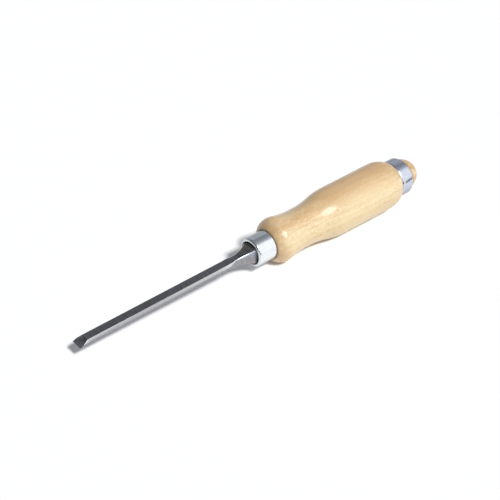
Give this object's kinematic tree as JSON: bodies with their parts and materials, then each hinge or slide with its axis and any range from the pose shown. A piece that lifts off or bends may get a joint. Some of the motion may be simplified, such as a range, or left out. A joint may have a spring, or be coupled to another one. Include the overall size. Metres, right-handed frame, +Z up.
{
  "type": "wood chisel",
  "caption": "Narrow bevel-edge wood chisel with a forged tang blade, turned wooden handle, front ferrule and rear striking hoop, lying at rest.",
  "frame": {"origin": "on the floor, under the middle of the tool's bounding box as it lies at rest on the bead and the knee of its handle", "axes": "+X along the tool from the cutting edge to the striking end, +Z up, flat back of the blade downwards; the tool axis rises 1.96 degrees towards +X"},
  "size_m": [0.2846, 0.0352, 0.0365],
  "materials": {
    "blade_steel": "ground and polished",
    "ferrule_plating": "bright plated",
    "handle_wood": "clear gloss lacquer",
    "hoop_plating": "bright plated"
  },
  "bodies": {
    "root": {"blade": "blade_steel", "front_ferrule": "ferrule_plating", "handle": "handle_wood", "striking_hoop": "hoop_plating"}
  },
  "joints": []
}
